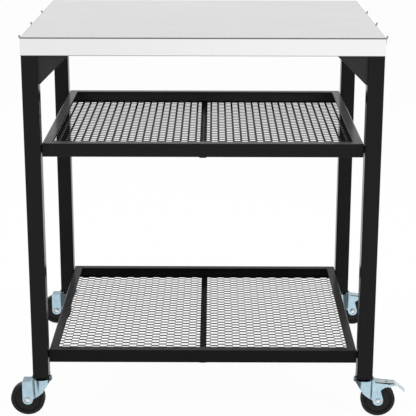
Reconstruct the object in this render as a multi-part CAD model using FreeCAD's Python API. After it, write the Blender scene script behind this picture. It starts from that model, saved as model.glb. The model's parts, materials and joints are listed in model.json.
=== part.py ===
import FreeCAD, Part
import math
import os

# Outdoor pizza oven table: a folded stainless top on four square legs, two shelves of hexagonal
# mesh in folded rims, tool hooks on both sides and four swivel casters, two of them with a brake.
# Millimetres, +Z up, the front faces -Y, the floor is Z = 0 and the origin is the middle of the
# overall plan at floor level.

# Top: one sheet folded down all round, with a narrow return along the lower edge
TOP_W = 762.0
TOP_D = 604.0
HEIGHT = 858.0
SHEET = 1.0
LIP = 38.1
BEND_R = 2.5
HEM_GAP = 1.0
HAT_W = 30.0
HAT_H = 12.0
HAT_FLANGE = 10.0
HAT_T = 1.2
HAT_GAP = 1.0

# Legs, the tubes behind the lip and the corner braces
LEG = 35.0
LEG_WALL = 1.5
LEG_R = 3.0
RAIL = 25.0
RAIL_WALL = 1.5
RAIL_R = 2.0
BRACE = 73.5
BRACE_T = 3.0
BRACE_TIP = 3.0
STUD_R = 2.5
STUD_CLEAR = 0.25
STUD_IN = 140.0
STUD_PAST = 8.0
STUD_NUT_AF = 8.0
STUD_NUT_H = 4.0

# Shelves: mitred rims folded to a channel, a mesh panel on the lower lip and a bar under it
SHELF_UPPER_Z = 630.3
SHELF_LOWER_Z = 157.1
SHELF_SET = 9.5
SPACER_T = 2.0
SPACER_R = 8.0
RIM_H = 30.0
RIM_FLANGE = 20.0
RIM_LIP = 8.0
RIM_T = 1.5
RIM_R = 2.5
MESH_T = 1.5
MESH_GAP = 0.5
MESH_BAR = 4.0
MESH_PX = 56.0
MESH_PY = 57.0
MESH_SIDE = 0.35
BAR_W = 15.0
BAR_H = 4.0
BOLT_R = 3.0
BOLT_CLEAR = 0.1
BOLT_IN = 14.0
BOLT_DOWN = 15.0
BOLT_HEAD_R = 5.0
BOLT_HEAD_H = 3.0
BOLT_PAST = 6.0

# Tool hooks, folded strip on the side lips, each on one rivet
HOOK_W = 12.0
HOOK_T = 2.0
HOOK_STEP = 195.0
HOOK_TOP = 6.0
HOOK_LOW = 32.4
HOOK_GAP = 10.0
HOOK_RISE = 12.4
HOOK_FLARE_X = 3.5
HOOK_FLARE_Z = 7.5
RIVET_R = 1.9
RIVET_HEAD_R = 3.4
RIVET_HEAD_H = 1.6
RIVET_CLEAR = 0.1
RIVET_DOWN = 14.0

# Leg plugs
PLUG_H = 3.0
PLUG_FLARE = 0.3
PLUG_FIT = 0.1
PLUG_DEEP = 15.0
STEM_FIT = 0.1

# Casters, all measured from the swivel axis and from the underside of the plug
WHEEL_R = 38.2
WHEEL_W = 22.0
WHEEL_EDGE = 3.0
WHEEL_RIM = 8.5
WHEEL_WEB = 13.0
HUB_R = 11.5
HUB_W = 22.8
TRAIL = 32.0
AXLE_DROP = 53.1
STEM_R = 5.0
STEM_UP = 25.0
NUT_AF = 17.0
NUT_H = 3.8
CUP_R = 16.0
CUP_TOP_R = 11.0
CUP_H = 3.5
CUP_SLOPE = 2.0
RACE_GAP = 1.5
SWIVEL_FIT = 0.08
RIVET_GAP = 0.3
STEM_HEAD_R = 8.0
STEM_HEAD_H = 4.7
FORK_T = 2.5
FORK_IN = 12.0
HEAD_R = 23.5
RIM_RISE = 5.7
DISH_R = 4.0
JOGGLE_R = 5.0
PLATE_HALF = 11.0
KNEE_U = 3.5
KNEE_DROP = 32.3
NAPE_U = 22.4
AXLE_R = 4.0
AXLE_FIT = 0.05
AXLE_HEAD_R = 6.25
AXLE_HEAD_H = 4.0
AXLE_NUT_AF = 13.0
AXLE_NUT_H = 6.5
AXLE_PAST = 1.5
BUSH_R = 6.4
WHEEL_FIT = 0.08

# Foot brake of the two right casters
ARM_U = 70.9
ARM_TOP = 9.9
ARM_FALL = 4.8
ARM_TIP = 1.6
ARM_ROOT_U = 47.0
ARM_ROOT_DROP = 20.2
ARM_NECK_U = 36.6
ARM_NECK_DROP = 27.5
LEVER_T = 2.0
LEVER_HALF = 10.0
LEVER_TOP = 9.6
LEVER_FALL = 2.7
LEVER_GAP = 0.7
LEVER_BEND_U = 69.0
PEDAL_LEN = 29.5
PEDAL_ANGLE = 40.0
PEDAL_HALF = 10.5
WINDOW_U = 47.0
WINDOW = 6.0
PIN_U = 55.0
PIN_DROP = 16.0
PIN_R = 2.0
PIN_FIT = 0.08
PIN_HEAD_R = 2.6
PIN_HEAD_H = 1.5
EAR_R = 3.2
EAR_T = 2.0
EAR_GAP = 0.5
SHOE_ANGLE = 54.0
SHOE_LEN = 5.0
SHOE_T = 2.5
SHOE_HALF = 9.0
SHOE_GAP = 0.3
BRAKE_SWING = 10.0

# Places that follow from the sizes above
LEG_X = TOP_W / 2 - SHEET - LEG / 2
LEG_Y = TOP_D / 2 - SHEET - LEG / 2
LEG_IN_X = LEG_X - LEG / 2
LEG_IN_Y = LEG_Y - LEG / 2
CASTER_H = WHEEL_R + AXLE_DROP
UNDER = HEIGHT - SHEET
RAIL_Z = UNDER - RAIL
RAIL_SET = (LEG - RAIL) / 2
HEM = RAIL_SET + SHEET - HEM_GAP
SHELF_W = 2 * (LEG_IN_X - SPACER_T)
SHELF_D = TOP_D - 2 * (SHEET + SHELF_SET)
PEDAL_SIN = math.sin(math.radians(PEDAL_ANGLE))
PEDAL_COS = math.cos(math.radians(PEDAL_ANGLE))
PEDAL_U = LEVER_BEND_U + PEDAL_LEN * PEDAL_COS + LEVER_T / 2 * PEDAL_SIN
XC = (TRAIL + WHEEL_R - PEDAL_U) / 2

os.makedirs("parts", exist_ok=True)


def save(name, shapes):
    shape = shapes[0] if len(shapes) == 1 else Part.makeCompound(shapes)
    shape.exportStep("parts/" + name + ".step")
    faces = sum(len(s.Faces) for s in shapes)
    print(name, len(shapes), "solids", faces, "faces", round(shape.Volume / 1000.0, 2), "cm3")


def vec(x, y, z):
    return FreeCAD.Vector(x, y, z)


def box(x0, x1, y0, y1, z0, z1):
    return Part.makeBox(x1 - x0, y1 - y0, z1 - z0, vec(x0, y0, z0))


def rod(r, p, q):
    return Part.makeCylinder(r, (q - p).Length, p, q - p)


def moved(shape, x, y, z, turn=0.0):
    rotation = FreeCAD.Rotation(vec(0, 0, 1), turn)
    out = shape.copy()
    out.Placement = FreeCAD.Placement(vec(x, y, z), rotation).multiply(out.Placement)
    return out


def mirrored(shape, normal):
    return shape.mirror(vec(0, 0, 0), normal)


def wire(points, lift):
    # a closed outline of (a, b, corner radius), each corner rounded tangent to its two sides
    edges = []
    ends = []
    n = len(points)
    for i in range(n):
        p = FreeCAD.Vector(points[i][0], points[i][1], 0)
        r = points[i][2]
        if r <= 0:
            ends.append((p, p, None))
            continue
        a = (FreeCAD.Vector(points[i - 1][0], points[i - 1][1], 0) - p).normalize()
        b = (FreeCAD.Vector(points[(i + 1) % n][0], points[(i + 1) % n][1], 0) - p).normalize()
        half = a.getAngle(b) / 2
        t = r / math.tan(half)
        mid = p + (a + b).normalize() * (r / math.sin(half) - r)
        ends.append((p + a * t, p + b * t, mid))
    for i in range(n):
        start, end, mid = ends[i]
        if mid is not None:
            edges.append(Part.Arc(lift(start), lift(mid), lift(end)).toShape())
        following = ends[(i + 1) % n][0]
        if (following - end).Length > 1e-6:
            edges.append(Part.LineSegment(lift(end), lift(following)).toShape())
    return Part.Wire(edges)


def in_xy(z):
    return lambda p: vec(p.x, p.y, z)


def in_xz(y):
    return lambda p: vec(p.x, y, p.y)


def in_yz(x):
    return lambda p: vec(x, p.x, p.y)


def rounded(w, d, r):
    return [(w / 2, d / 2, r), (-w / 2, d / 2, r), (-w / 2, -d / 2, r), (w / 2, -d / 2, r)]


def square_tube(size, wall, radius, length):
    # along +Z from the plane Z = 0
    outer = wire(rounded(size, size, radius), in_xy(0))
    hollow = wire(rounded(size - 2 * wall, size - 2 * wall, 0), in_xy(0))
    face = Part.makeFace([outer, hollow], "Part::FaceMakerBullseye")
    return face.extrude(vec(0, 0, length))


def laid(shape, direction):
    # turns a piece built along +Z so that it runs along +X or +Y
    out = shape.copy()
    if direction == "X":
        out.rotate(vec(0, 0, 0), vec(0, 1, 0), 90)
    else:
        out.rotate(vec(0, 0, 0), vec(1, 0, 0), -90)
    return out


def hexagon(across, height, x, y, z):
    r = across / 2 / math.cos(math.pi / 6)
    pts = []
    for k in range(6):
        a = math.radians(60 * k)
        pts.append(vec(x + r * math.cos(a), y + r * math.sin(a), z))
    return Part.Face(Part.makePolygon(pts + [pts[0]])).extrude(vec(0, 0, height))


# The four legs stand at these signs of X and Y
CORNERS = {
    "front_left": (-1, -1),
    "front_right": (1, -1),
    "rear_left": (-1, 1),
    "rear_right": (1, 1),
}


def tabletop():
    low = HEIGHT - LIP
    outer = Part.Face(wire(rounded(TOP_W, TOP_D, LEG_R), in_xy(low))).extrude(vec(0, 0, LIP))
    rim = [e for e in outer.Edges if e.BoundBox.ZMin > HEIGHT - 0.01]
    outer = outer.makeFillet(BEND_R, rim)
    w = TOP_W - 2 * SHEET
    d = TOP_D - 2 * SHEET
    hollow = Part.Face(wire(rounded(w, d, LEG_R - SHEET), in_xy(low))).extrude(vec(0, 0, LIP - SHEET))
    rim = [e for e in hollow.Edges if e.BoundBox.ZMin > UNDER - 0.01]
    hollow = hollow.makeFillet(BEND_R - SHEET, rim)
    pan = outer.cut(hollow)
    # the return runs between the legs only
    x = LEG_IN_X - HEM_GAP
    y = LEG_IN_Y - HEM_GAP
    top = low + SHEET
    half = SHEET / 2
    strips = [
        box(-x, x, -TOP_D / 2 + half, -TOP_D / 2 + HEM, low, top),
        box(-x, x, TOP_D / 2 - HEM, TOP_D / 2 - half, low, top),
        box(-TOP_W / 2 + half, -TOP_W / 2 + HEM, -y, y, low, top),
        box(TOP_W / 2 - HEM, TOP_W / 2 - half, -y, y, low, top),
    ]
    pan = pan.fuse(strips).removeSplitter()
    holes = []
    for side in (-1, 1):
        for k in (-1, 0, 1):
            p = vec(side * (TOP_W / 2 - 2 * SHEET), k * HOOK_STEP, HEIGHT - RIVET_DOWN)
            q = vec(side * (TOP_W / 2 + SHEET), k * HOOK_STEP, HEIGHT - RIVET_DOWN)
            holes.append(rod(RIVET_R + RIVET_CLEAR, p, q))
    return moved(pan.cut(holes), XC, 0, 0)


def stiffener():
    # a hat channel under the sheet, open upwards, running front to back
    a = HAT_W / 2
    b = a + HAT_FLANGE
    low = UNDER - HAT_H
    pts = [
        (-b, UNDER, 0), (-b, UNDER - HAT_T, 0), (-a, UNDER - HAT_T, 0), (-a, low, HAT_T),
        (a, low, HAT_T), (a, UNDER - HAT_T, 0), (b, UNDER - HAT_T, 0), (b, UNDER, 0),
        (a - HAT_T, UNDER, 0), (a - HAT_T, low + HAT_T, 0), (HAT_T - a, low + HAT_T, 0),
        (HAT_T - a, UNDER, 0),
    ]
    y = LEG_Y - RAIL / 2 - HAT_GAP
    return Part.Face(wire(pts, in_xz(-y))).extrude(vec(0, 2 * y, 0))


def shelf_bolt_places():
    # one place at every shelf corner: sign of X, Y and height of the bolt
    out = []
    for top in (SHELF_UPPER_Z, SHELF_LOWER_Z):
        for sx in (-1, 1):
            for sy in (-1, 1):
                out.append((sx, sy * (SHELF_D / 2 - BOLT_IN), top - BOLT_DOWN))
    return out


def leg(sx, sy):
    foot = CASTER_H + PLUG_H
    post = square_tube(LEG, LEG_WALL, LEG_R, HEIGHT - BEND_R - foot)
    post = moved(post, sx * LEG_X, sy * LEG_Y, foot)
    for bx, y, z in shelf_bolt_places():
        if bx == sx and y * sy > 0:
            p = vec(sx * (LEG_IN_X - LEG_WALL), y, z)
            q = vec(sx * (LEG_IN_X + 2 * LEG_WALL), y, z)
            post = post.cut(rod(BOLT_R + BOLT_CLEAR, p, q))
    return moved(post, XC, 0, 0)


def stud_places():
    x = LEG_IN_X - STUD_IN
    front = [(-x, -LEG_Y), (x, -LEG_Y)]
    rear = [(-x, LEG_Y), (x, LEG_Y)]
    return {"front": front, "rear": rear, "left": [], "right": []}


def top_rail(side):
    along = "X" if side in ("front", "rear") else "Y"
    length = 2 * (LEG_IN_X if along == "X" else LEG_IN_Y)
    bar = laid(square_tube(RAIL, RAIL_WALL, RAIL_R, length), along)
    z = UNDER - RAIL / 2
    if along == "X":
        bar = moved(bar, -length / 2, LEG_Y if side == "rear" else -LEG_Y, z)
    else:
        bar = moved(bar, LEG_X if side == "right" else -LEG_X, -length / 2, z)
    for x, y in stud_places()[side]:
        bar = bar.cut(rod(STUD_R + STUD_CLEAR, vec(x, y, RAIL_Z - RAIL), vec(x, y, UNDER + RAIL)))
    return moved(bar, XC, 0, 0)


def brace(sx, sy):
    # a plate in the corner between the leg and the rail, flush with the rail's outer face
    x = sx * LEG_IN_X
    pts = [
        (x, RAIL_Z, 0), (x, RAIL_Z - BRACE, 0), (x - sx * BRACE_TIP, RAIL_Z - BRACE, 0),
        (x - sx * BRACE, RAIL_Z - BRACE_TIP, 0), (x - sx * BRACE, RAIL_Z, 0),
    ]
    face = LEG_Y + RAIL / 2
    y = face - BRACE_T if sy > 0 else -face
    return moved(Part.Face(wire(pts, in_xz(y))).extrude(vec(0, BRACE_T, 0)), XC, 0, 0)


def rim(length):
    # a mitred channel along X, its outer face at Y = 0, its upper face at Z = 0
    r = RIM_R - RIM_T if RIM_R > RIM_T else 0
    pts = [
        (0, 0, RIM_R), (0, -RIM_H, RIM_R), (RIM_LIP, -RIM_H, 0), (RIM_LIP, RIM_T - RIM_H, 0),
        (RIM_T, RIM_T - RIM_H, r), (RIM_T, -RIM_T, r), (RIM_FLANGE, -RIM_T, 0), (RIM_FLANGE, 0, 0),
    ]
    bar = Part.Face(wire(pts, in_yz(-length / 2))).extrude(vec(length, 0, 0))
    a = length / 2
    b = a - 2 * RIM_FLANGE
    plan = [(-a, 0, 0), (a, 0, 0), (b, 2 * RIM_FLANGE, 0), (-b, 2 * RIM_FLANGE, 0)]
    prism = Part.Face(wire(plan, in_xy(-2 * RIM_H))).extrude(vec(0, 0, 3 * RIM_H))
    return bar.common(prism)


def shelf_rim(side, top):
    if side == "front":
        bar = moved(rim(SHELF_W), 0, -SHELF_D / 2, top)
    elif side == "rear":
        bar = moved(rim(SHELF_W), 0, SHELF_D / 2, top, 180)
    elif side == "left":
        bar = moved(rim(SHELF_D), -SHELF_W / 2, 0, top, -90)
    else:
        bar = moved(rim(SHELF_D), SHELF_W / 2, 0, top, 90)
    if side in ("left", "right"):
        for sx, y, z in shelf_bolt_places():
            if abs(z - top) < 2 * RIM_H and (sx > 0) == (side == "right"):
                p = vec(sx * (SHELF_W / 2 - 2 * RIM_T), y, z)
                q = vec(sx * (SHELF_W / 2 + RIM_T), y, z)
                bar = bar.cut(rod(BOLT_R + BOLT_CLEAR, p, q))
    return moved(bar, XC, 0, 0)


def mesh(top):
    # expanded sheet drawn coarser than the real one: six-sided openings in staggered columns
    w = SHELF_W - 2 * (RIM_R + MESH_GAP)
    d = SHELF_D - 2 * (RIM_R + MESH_GAP)
    z = top - RIM_H + RIM_T
    room_x = SHELF_W - 2 * RIM_LIP - 2 * MESH_BAR
    room_y = SHELF_D - 2 * RIM_LIP - 2 * MESH_BAR
    flat = MESH_PX * MESH_SIDE
    point = MESH_PX - flat
    a = flat - MESH_BAR / 4
    b = point - MESH_BAR / 2
    h = (MESH_PY - MESH_BAR) / 2
    columns = int((room_x / 2 - b) / MESH_PX)
    wires = [wire(rounded(w, d, 0), in_xy(z))]
    for i in range(-columns, columns + 1):
        x = i * MESH_PX
        shift = MESH_PY / 2 if i % 2 else 0.0
        rows = int((room_y / 2 - h - shift) / MESH_PY)
        places = [k * MESH_PY + shift for k in range(-rows, rows + 1)]
        if i % 2:
            places.insert(0, -(rows + 1) * MESH_PY + shift)
        for y in places:
            cell = [(x + a, y + h, 0), (x - a, y + h, 0), (x - b, y, 0)]
            cell += [(x - a, y - h, 0), (x + a, y - h, 0), (x + b, y, 0)]
            wires.append(wire(cell, in_xy(z)))
    sheet = Part.makeFace(wires, "Part::FaceMakerBullseye")
    return moved(sheet.extrude(vec(0, 0, MESH_T)), XC, 0, 0)


def crossbar(top):
    y = SHELF_D / 2 - RIM_LIP
    z = top - RIM_H + RIM_T
    return box(XC - BAR_W / 2, XC + BAR_W / 2, -y, y, z - BAR_H, z)


def shelf_fixings():
    spacers = []
    bolts = []
    for sx, y, z in shelf_bolt_places():
        a = SHELF_W / 2
        ring = rod(SPACER_R, vec(a, 0, 0), vec(LEG_IN_X, 0, 0))
        ring = ring.cut(rod(BOLT_R + BOLT_CLEAR, vec(a - SPACER_T, 0, 0), vec(a + 2 * SPACER_T, 0, 0)))
        seat = a - RIM_T
        tip = LEG_IN_X + LEG_WALL + BOLT_PAST
        pts = [
            (seat - BOLT_HEAD_H, 0, 0), (seat - BOLT_HEAD_H, 0.6 * BOLT_HEAD_R, 0),
            (seat, BOLT_HEAD_R, 0), (seat, BOLT_R, 0), (tip, BOLT_R, 0), (tip, 0, 0),
        ]
        bolt = Part.Face(wire(pts, in_xy(0))).revolve(vec(0, 0, 0), vec(1, 0, 0), 360)
        turn = 0 if sx > 0 else 180
        spacers.append(moved(ring, XC, y, z, turn))
        bolts.append(moved(bolt, XC, y, z, turn))
    return spacers, bolts


def hook(side):
    # strip against the lip, a round bottom and a flared outer leg, drawn in XZ
    x0 = TOP_W / 2
    ro = HOOK_GAP / 2 + HOOK_T
    x1 = x0 + 2 * ro
    top = HEIGHT - HOOK_TOP
    low = HEIGHT - HOOK_LOW
    knee = low + HOOK_RISE
    run = math.hypot(HOOK_FLARE_X, HOOK_FLARE_Z)
    dx = HOOK_FLARE_X / run
    dz = HOOK_FLARE_Z / run
    side_in = HOOK_T * dx / (1 + dz)
    tip = (x1 + HOOK_FLARE_X, knee + HOOK_FLARE_Z)
    pts = [
        (x0, top, 0), (x0, low, 0.999 * ro), (x1, low, 0.999 * ro), (x1, knee, 0),
        (tip[0], tip[1], 0), (tip[0] - HOOK_T * dz, tip[1] + HOOK_T * dx, 0),
        (x1 - HOOK_T, knee + side_in, 0),
        (x1 - HOOK_T, low + HOOK_T, 0.999 * (ro - HOOK_T)),
        (x0 + HOOK_T, low + HOOK_T, 0.999 * (ro - HOOK_T)), (x0 + HOOK_T, top, 0),
    ]
    strip = Part.Face(wire(pts, in_xz(-HOOK_W / 2))).extrude(vec(0, HOOK_W, 0))
    ends = [e for e in strip.Edges if abs(e.BoundBox.ZMin - top) < 0.01 and e.BoundBox.YLength < 0.01]
    z = HEIGHT - RIVET_DOWN
    hole = rod(RIVET_R + RIVET_CLEAR, vec(x0 - HOOK_T, 0, z), vec(x0 + 2 * HOOK_T, 0, z))
    strip = strip.cut(hole)
    corners = []
    for e in strip.Edges:
        b = e.BoundBox
        if b.XLength > 0.9 * HOOK_T and b.YLength < 0.01 and b.ZLength < 0.01 and b.ZMin > top - 0.01:
            corners.append(e)
    strip = strip.makeFillet(0.3 * HOOK_W, corners)
    return strip if side > 0 else mirrored(strip, vec(1, 0, 0))


def rivet(side):
    x0 = TOP_W / 2
    z = HEIGHT - RIVET_DOWN
    tail = RAIL_SET / 2
    face = x0 + HOOK_T
    pts = [
        (x0 - SHEET - tail, 0, 0), (x0 - SHEET - tail, 1.35 * RIVET_R, 0),
        (x0 - SHEET, 1.35 * RIVET_R, 0), (x0 - SHEET, RIVET_R, 0), (face, RIVET_R, 0),
        (face, RIVET_HEAD_R, 0), (face + RIVET_HEAD_H, 0.55 * RIVET_HEAD_R, 0),
        (face + RIVET_HEAD_H, 0, 0),
    ]
    solid = Part.Face(wire(pts, in_xy(0))).revolve(vec(0, 0, 0), vec(1, 0, 0), 360)
    solid = moved(solid, 0, 0, z)
    return solid if side > 0 else mirrored(solid, vec(1, 0, 0))


def plug(sx, sy):
    size = LEG + 2 * PLUG_FLARE
    foot = Part.Face(wire(rounded(size, size, LEG_R), in_xy(0))).extrude(vec(0, 0, PLUG_H))
    inner = LEG - 2 * LEG_WALL - 2 * PLUG_FIT
    body = Part.Face(wire(rounded(inner, inner, 0), in_xy(PLUG_H))).extrude(vec(0, 0, PLUG_DEEP))
    bore = rod(STEM_R + STEM_FIT, vec(0, 0, -PLUG_H), vec(0, 0, 3 * PLUG_H + PLUG_DEEP))
    solid = foot.fuse(body).removeSplitter().cut(bore)
    return moved(solid, XC + sx * LEG_X, sy * LEG_Y, CASTER_H)


# Caster pieces: U runs from the swivel axis towards the wheel, heights are from the plug's underside
CROWN_TOP = -(NUT_H + CUP_H + RACE_GAP)
CROWN_LOW = CROWN_TOP - FORK_T
HEAD_TOP = CROWN_TOP + RIM_RISE
FORK_OUT = FORK_IN + FORK_T
JOGGLE_U = math.sqrt((HEAD_R + JOGGLE_R) ** 2 - (FORK_OUT + JOGGLE_R) ** 2)
PLATE_U = TRAIL + PLATE_HALF


def stem():
    cup = CROWN_TOP + RACE_GAP
    head = CROWN_LOW - RIVET_GAP
    pts = [
        (0, STEM_UP, 0), (STEM_R, STEM_UP, 0), (STEM_R, -NUT_H, 0), (CUP_TOP_R, -NUT_H, 0),
        (CUP_R, -NUT_H - CUP_SLOPE, 0), (CUP_R, cup, 0), (STEM_R, cup, 0), (STEM_R, head, 0),
        (STEM_HEAD_R, head, 0), (STEM_HEAD_R, head - 0.5 * STEM_HEAD_H, 0),
        (0.6 * STEM_HEAD_R, head - STEM_HEAD_H, 0), (0, head - STEM_HEAD_H, 0),
    ]
    solid = Part.Face(wire(pts, in_xz(0))).revolve(vec(0, 0, 0), vec(0, 0, 1), 360)
    return solid.fuse(hexagon(NUT_AF, NUT_H, 0, 0, -NUT_H)).removeSplitter()


def keyhole(inset, reach, z0, z1):
    # plan of the pressed fork: a round head that runs through a joggle into two straight sides
    head = HEAD_R - inset
    half = FORK_OUT - inset
    jog = JOGGLE_R + inset
    c = vec(JOGGLE_U, half + jog, 0)
    near = c * (head / (head + jog))
    mid = c + ((c * (-1 / c.Length)) + vec(0, -1, 0)).normalize() * jog
    end = vec(JOGGLE_U, half, 0)
    far = vec(reach, half, 0)

    def flip(p):
        return vec(p.x, -p.y, p.z)

    edges = [
        Part.Arc(near, vec(-head, 0, 0), flip(near)).toShape(),
        Part.Arc(flip(near), flip(mid), flip(end)).toShape(),
        Part.LineSegment(flip(end), flip(far)).toShape(),
        Part.LineSegment(flip(far), far).toShape(),
        Part.LineSegment(far, end).toShape(),
        Part.Arc(end, mid, near).toShape(),
    ]
    solid = Part.Face(Part.Wire(edges)).extrude(vec(0, 0, z1 - z0))
    return moved(solid, 0, 0, z0)


def dish():
    # the round head: a shallow pressed cup about the swivel axis
    bore = STEM_R + SWIVEL_FIT
    inner = HEAD_R - FORK_T
    fall = 0.4 * DISH_R
    pts = [
        (bore, CROWN_LOW, 0), (HEAD_R - DISH_R, CROWN_LOW, 0), (HEAD_R, CROWN_LOW + DISH_R, 0),
        (HEAD_R, HEAD_TOP, 0), (inner, HEAD_TOP, 0), (inner, CROWN_TOP + fall, 0),
        (inner - fall, CROWN_TOP, 0), (bore, CROWN_TOP, 0),
    ]
    return Part.Face(wire(pts, in_xz(0))).revolve(vec(0, 0, 0), vec(0, 0, 1), 360)


def fork(braked):
    low = -AXLE_DROP - PLATE_HALF
    reach = ARM_U + FORK_T if braked else PLATE_U
    walls = keyhole(0, reach, low - FORK_T, HEAD_TOP)
    walls = walls.cut(keyhole(FORK_T, reach + FORK_T, low - 2 * FORK_T, HEAD_TOP + FORK_T))
    r = 0.97 * PLATE_HALF
    top_u = JOGGLE_U + 0.4 * FORK_T
    if braked:
        tip = -ARM_TOP - ARM_FALL
        front = [
            (top_u, HEAD_TOP, 0), (top_u + FORK_T, -ARM_TOP, 0), (ARM_U, tip, 0.5),
            (ARM_U, tip - ARM_TIP, 0.5), (ARM_ROOT_U, -ARM_ROOT_DROP, 8.0),
            (ARM_NECK_U, -ARM_NECK_DROP, 4.0), (PLATE_U, -AXLE_DROP + 0.3 * PLATE_HALF, 0),
        ]
    else:
        front = [
            (top_u, HEAD_TOP, 0), (top_u + FORK_T, CROWN_TOP, 0), (PLATE_U, CROWN_TOP, 2.0),
        ]
    pts = [(-NAPE_U, HEAD_TOP, 0)] + front + [
        (PLATE_U, low, r), (TRAIL - PLATE_HALF, low, r),
        (TRAIL - 1.1 * PLATE_HALF, -AXLE_DROP + 0.1 * PLATE_HALF, 4.0),
        (-KNEE_U, -KNEE_DROP, 8.0),
    ]
    side = Part.Face(wire(pts, in_xz(-2 * HEAD_R))).extrude(vec(0, 4 * HEAD_R, 0))
    body = walls.common(side)
    if braked:
        body = body.fuse(dish())
    else:
        crown = keyhole(0, PLATE_U, CROWN_LOW, CROWN_TOP).common(side)
        crown = crown.cut(rod(HEAD_R - FORK_T, vec(0, 0, 2 * CROWN_LOW), vec(0, 0, 0)))
        body = body.fuse([dish(), crown])
    body = body.removeSplitter()
    axle = rod(AXLE_R + AXLE_FIT, vec(TRAIL, -HEAD_R, -AXLE_DROP), vec(TRAIL, HEAD_R, -AXLE_DROP))
    body = body.cut(axle)
    if braked:
        body = body.cut(rod(PIN_R + AXLE_FIT, vec(PIN_U, -HEAD_R, -PIN_DROP), vec(PIN_U, HEAD_R, -PIN_DROP)))
    return body


def wheel():
    bore = BUSH_R + WHEEL_FIT
    rim_r = WHEEL_R - WHEEL_RIM
    h = WHEEL_W / 2
    k = HUB_W / 2
    w = WHEEL_WEB / 2
    pts = [
        (bore, -k, 0), (HUB_R, -k, 0), (HUB_R + 1.0, -w, 0), (rim_r, -w, 0), (rim_r + 1.0, -h, 0),
        (WHEEL_R - WHEEL_EDGE, -h, 0), (WHEEL_R - 0.3 * WHEEL_EDGE, -h + 0.3 * WHEEL_EDGE, 0),
        (WHEEL_R, -h + WHEEL_EDGE, 0), (WHEEL_R, h - WHEEL_EDGE, 0),
        (WHEEL_R - 0.3 * WHEEL_EDGE, h - 0.3 * WHEEL_EDGE, 0), (WHEEL_R - WHEEL_EDGE, h, 0),
        (rim_r + 1.0, h, 0), (rim_r, w, 0),
        (HUB_R + 1.0, w, 0), (HUB_R, k, 0), (bore, k, 0),
    ]
    solid = Part.Face(wire(pts, in_xy(0))).revolve(vec(0, 0, 0), vec(0, 1, 0), 360)
    return moved(solid, TRAIL, 0, -AXLE_DROP)


def bush():
    a = vec(TRAIL, -FORK_IN, -AXLE_DROP)
    b = vec(TRAIL, FORK_IN, -AXLE_DROP)
    over = vec(0, FORK_T, 0)
    return rod(BUSH_R, a, b).cut(rod(AXLE_R + AXLE_FIT, a - over, b + over))


def axle(head):
    # head is the sign of Y on which the bolt's head lies
    y = head * FORK_OUT
    end = -head * (FORK_OUT + AXLE_NUT_H + AXLE_PAST)
    pts = [
        (0, end, 0), (AXLE_R, end, 0), (AXLE_R, y, 0), (AXLE_HEAD_R, y, 0),
        (AXLE_HEAD_R, y + head * 0.4 * AXLE_HEAD_H, 0),
        (0.6 * AXLE_HEAD_R, y + head * AXLE_HEAD_H, 0), (0, y + head * AXLE_HEAD_H, 0),
    ]
    solid = Part.Face(wire(pts, in_xy(0))).revolve(vec(0, 0, 0), vec(0, 1, 0), 360)
    return moved(solid, TRAIL, 0, -AXLE_DROP)


def axle_nut(head):
    body = hexagon(AXLE_NUT_AF, AXLE_NUT_H, 0, 0, 0)
    body = body.cut(rod(AXLE_R + AXLE_FIT, vec(0, 0, -AXLE_NUT_H), vec(0, 0, 2 * AXLE_NUT_H)))
    body = laid(body, "Y")
    y = -head * FORK_OUT if head < 0 else -FORK_OUT - AXLE_NUT_H
    return moved(body, TRAIL, y, -AXLE_DROP)


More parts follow.
